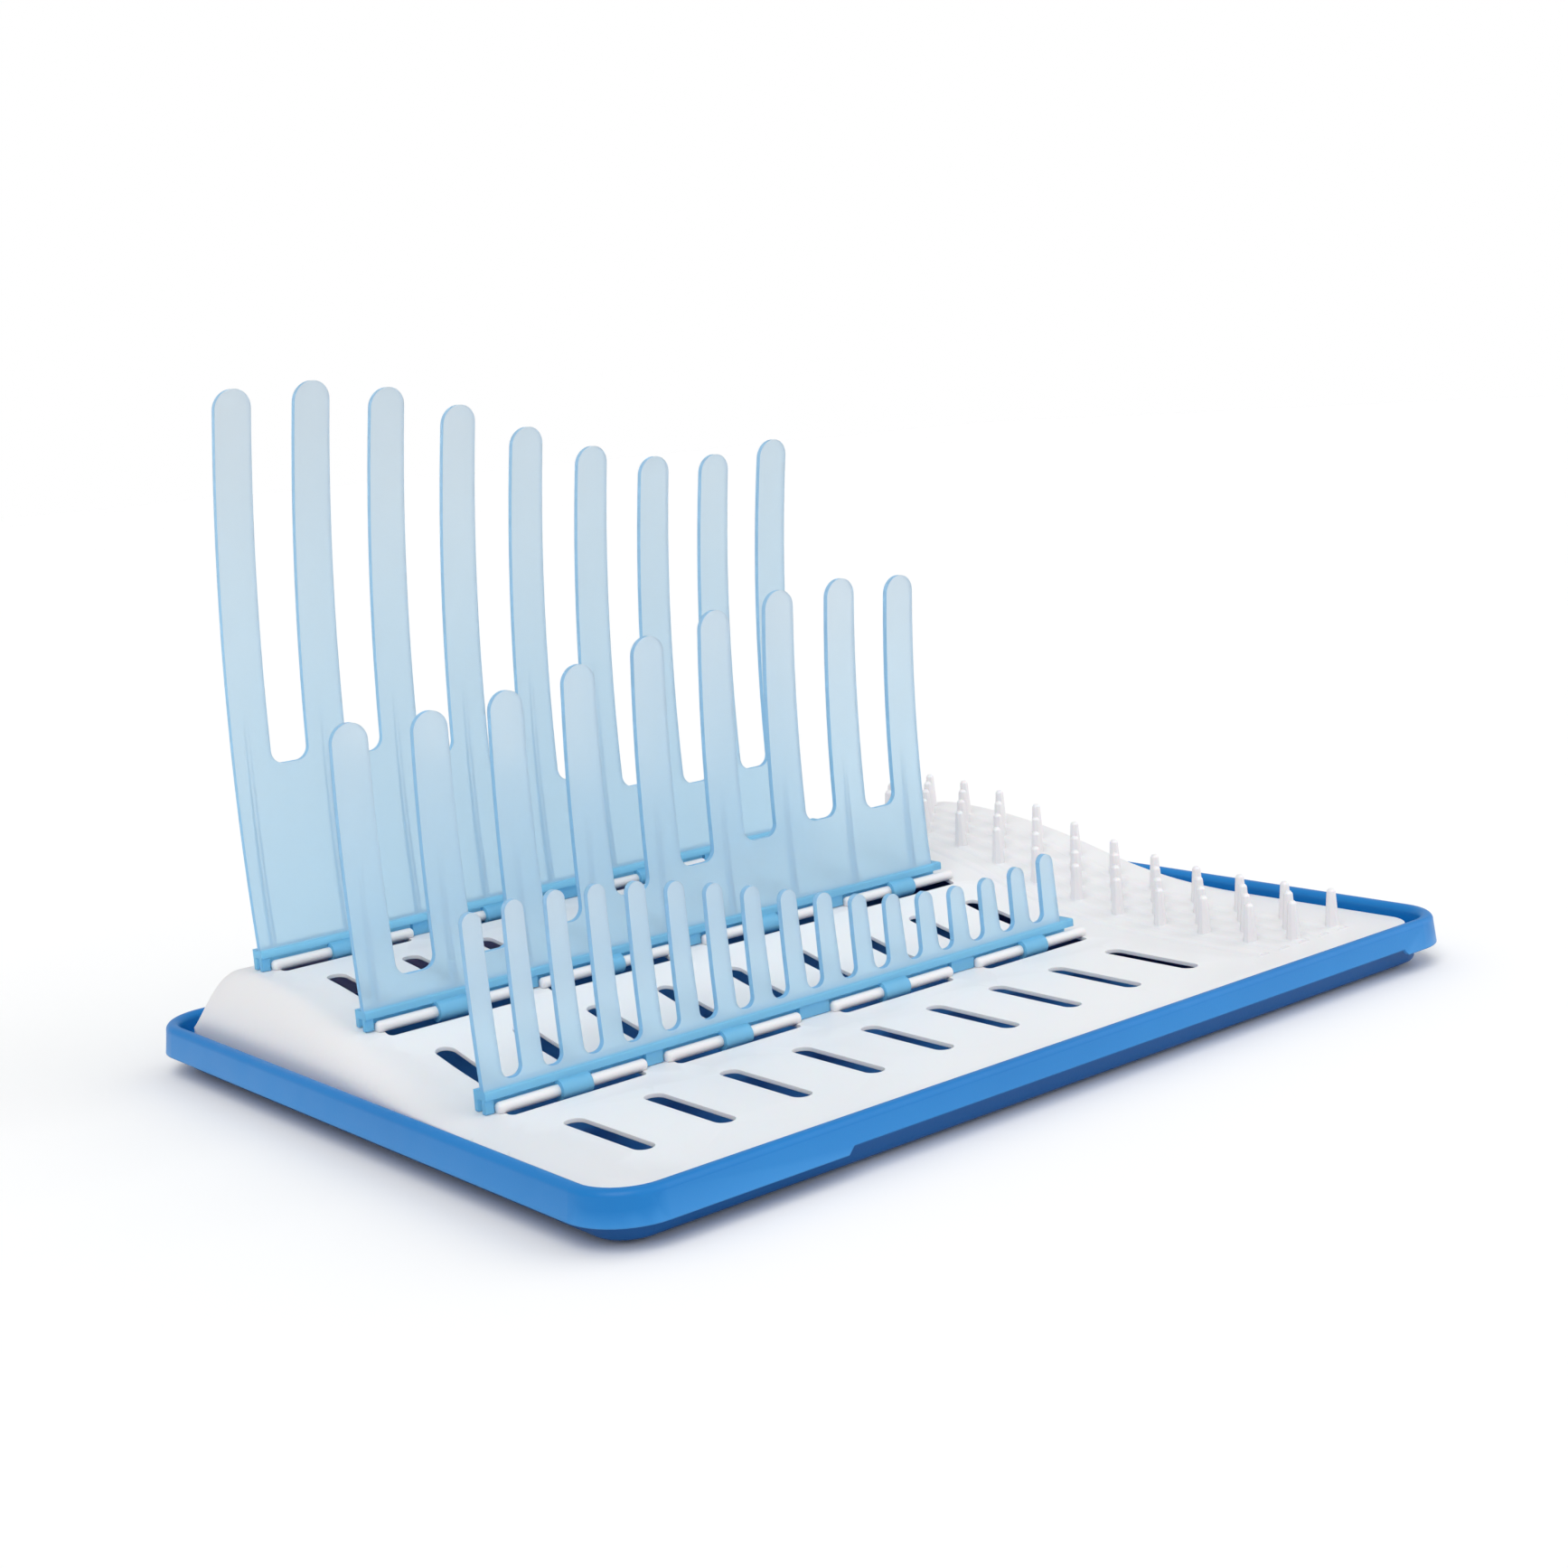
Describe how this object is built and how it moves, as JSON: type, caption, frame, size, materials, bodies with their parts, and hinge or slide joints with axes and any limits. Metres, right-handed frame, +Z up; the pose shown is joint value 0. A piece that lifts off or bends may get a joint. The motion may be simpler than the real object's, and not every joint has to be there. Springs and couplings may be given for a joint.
{
  "type": "bottle drying rack",
  "caption": "Rectangular drip tray with a raised slotted deck, folding combs of round-tipped tines in stepped heights and a field of short pegs.",
  "frame": {"origin": "under the middle of the tray, on the plane that the foot pads stand on", "axes": "+X along the tray towards the pegs, +Y to the back where the tallest comb stands, +Z up"},
  "size_m": [0.4072, 0.3072, 0.2548],
  "materials": {
    "tray": "semi-gloss",
    "deck": "satin",
    "comb": "translucent, fine matt",
    "foot": "matt"
  },
  "bodies": {
    "tray": {"drip_tray": "tray", "foot_front_left": "foot", "foot_front_right": "foot", "foot_rear_right": "foot", "foot_rear_left": "foot"},
    "deck": {"drain_deck": "deck"},
    "front_row": {"front_comb": "comb"},
    "middle_row": {"middle_comb": "comb"},
    "rear_row": {"rear_comb": "comb"}
  },
  "joints": [
    {"name": "deck_lift", "type": "slide", "parent": "tray", "child": "deck", "axis": [0, 0, 1], "range_m": [0, 0.06]},
    {"name": "front_comb_fold", "type": "hinge", "parent": "deck", "child": "front_row", "pos_m": [-0.0415, -0.0504, 0.01872], "axis": [1, 0, 0], "range_deg": [0, 85]},
    {"name": "middle_comb_fold", "type": "hinge", "parent": "deck", "child": "middle_row", "pos_m": [-0.0415, 0.0241, 0.0328], "axis": [1, 0, 0], "range_deg": [0, 85]},
    {"name": "rear_comb_fold", "type": "hinge", "parent": "deck", "child": "rear_row", "pos_m": [-0.0415, 0.0988, 0.04317], "axis": [1, 0, 0], "range_deg": [0, 85]}
  ],
  "couplings": [
    {"joint": "middle_comb_fold", "follows": "rear_comb_fold", "ratio": 1},
    {"joint": "front_comb_fold", "follows": "rear_comb_fold", "ratio": 1}
  ]
}
